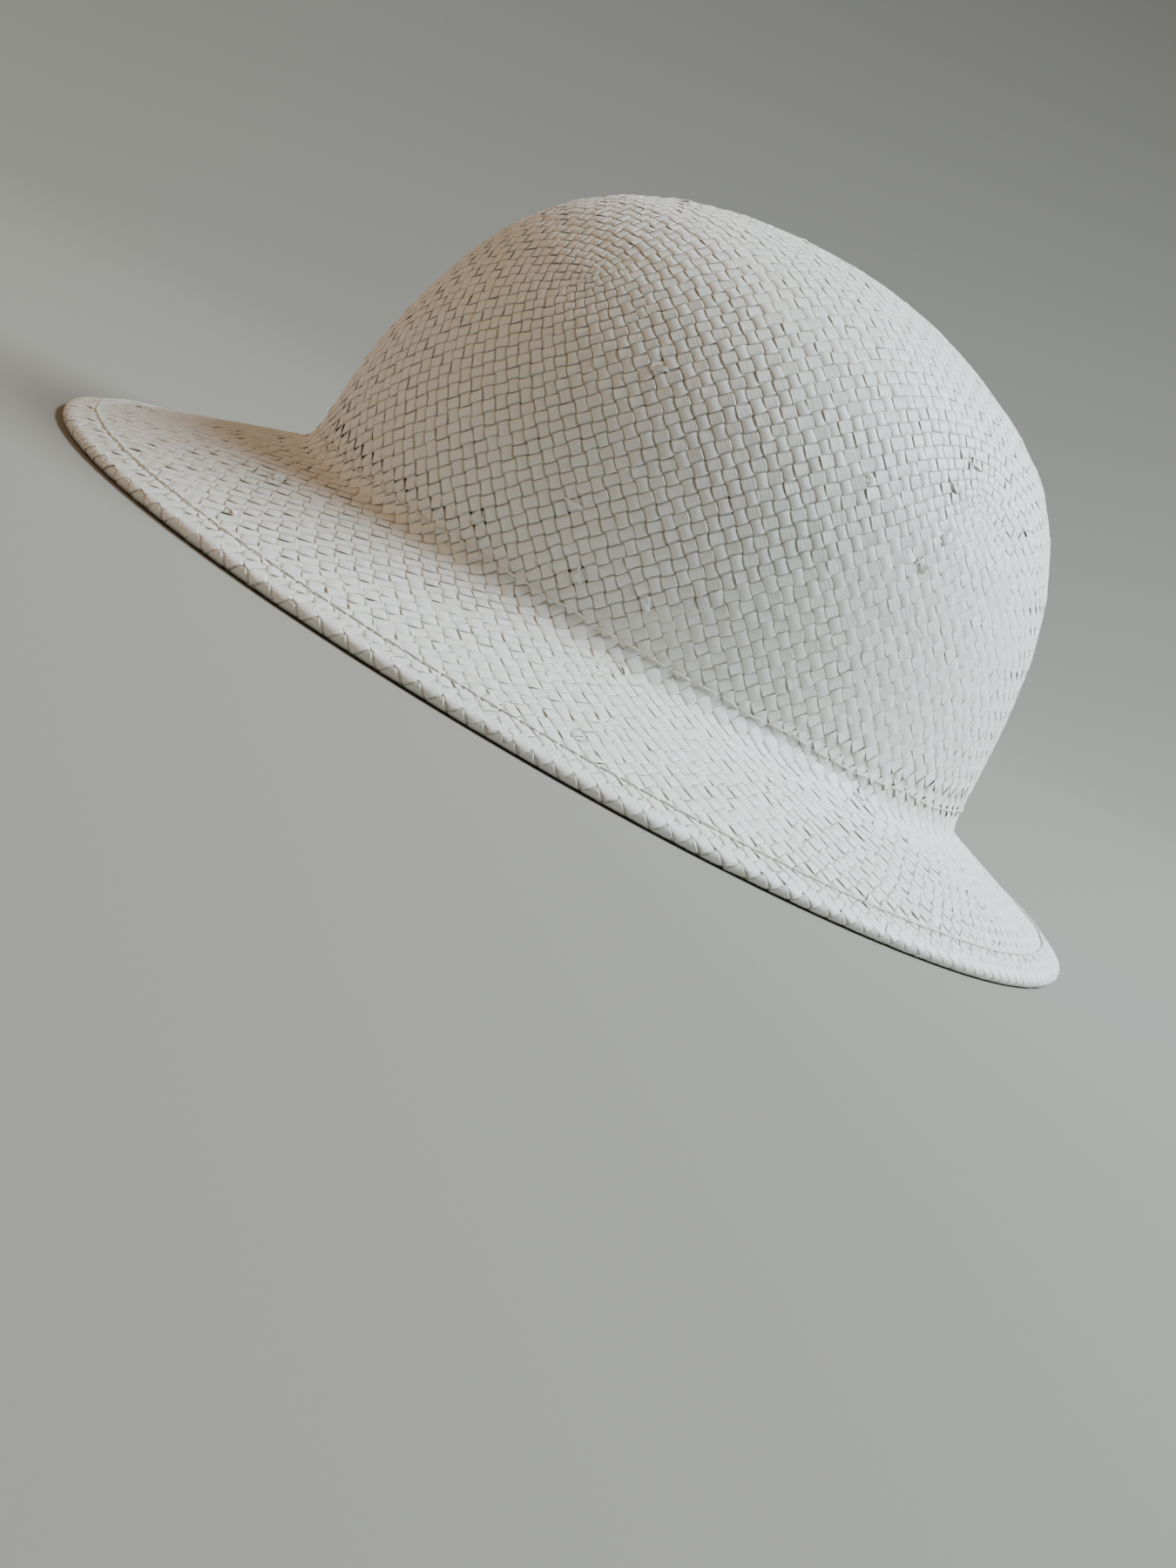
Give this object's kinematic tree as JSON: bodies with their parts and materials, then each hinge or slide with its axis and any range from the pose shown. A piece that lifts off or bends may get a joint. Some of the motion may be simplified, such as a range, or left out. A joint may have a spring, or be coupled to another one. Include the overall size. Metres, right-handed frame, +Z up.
{
  "type": "cloche hat",
  "caption": "White woven straw cloche hat: a round blocked crown that runs without a seam into a short sloping brim with a turned, stitched edge and a ribbon sweatband inside.",
  "frame": {"origin": "on the surface that the brim's edge rests on, at the middle of the hat's outline", "axes": "+Z up through the crown, -Y to the front of the hat, +X to the wearer's left"},
  "size_m": [0.273, 0.311, 0.136],
  "materials": {
    "straw": "plain-woven flat paper straw, off-white with a light satin sheen",
    "ribbon": "matt ribbed cotton ribbon and thread, cream"
  },
  "bodies": {
    "root": {"woven_body": "straw", "sweatband": "ribbon"}
  },
  "joints": []
}
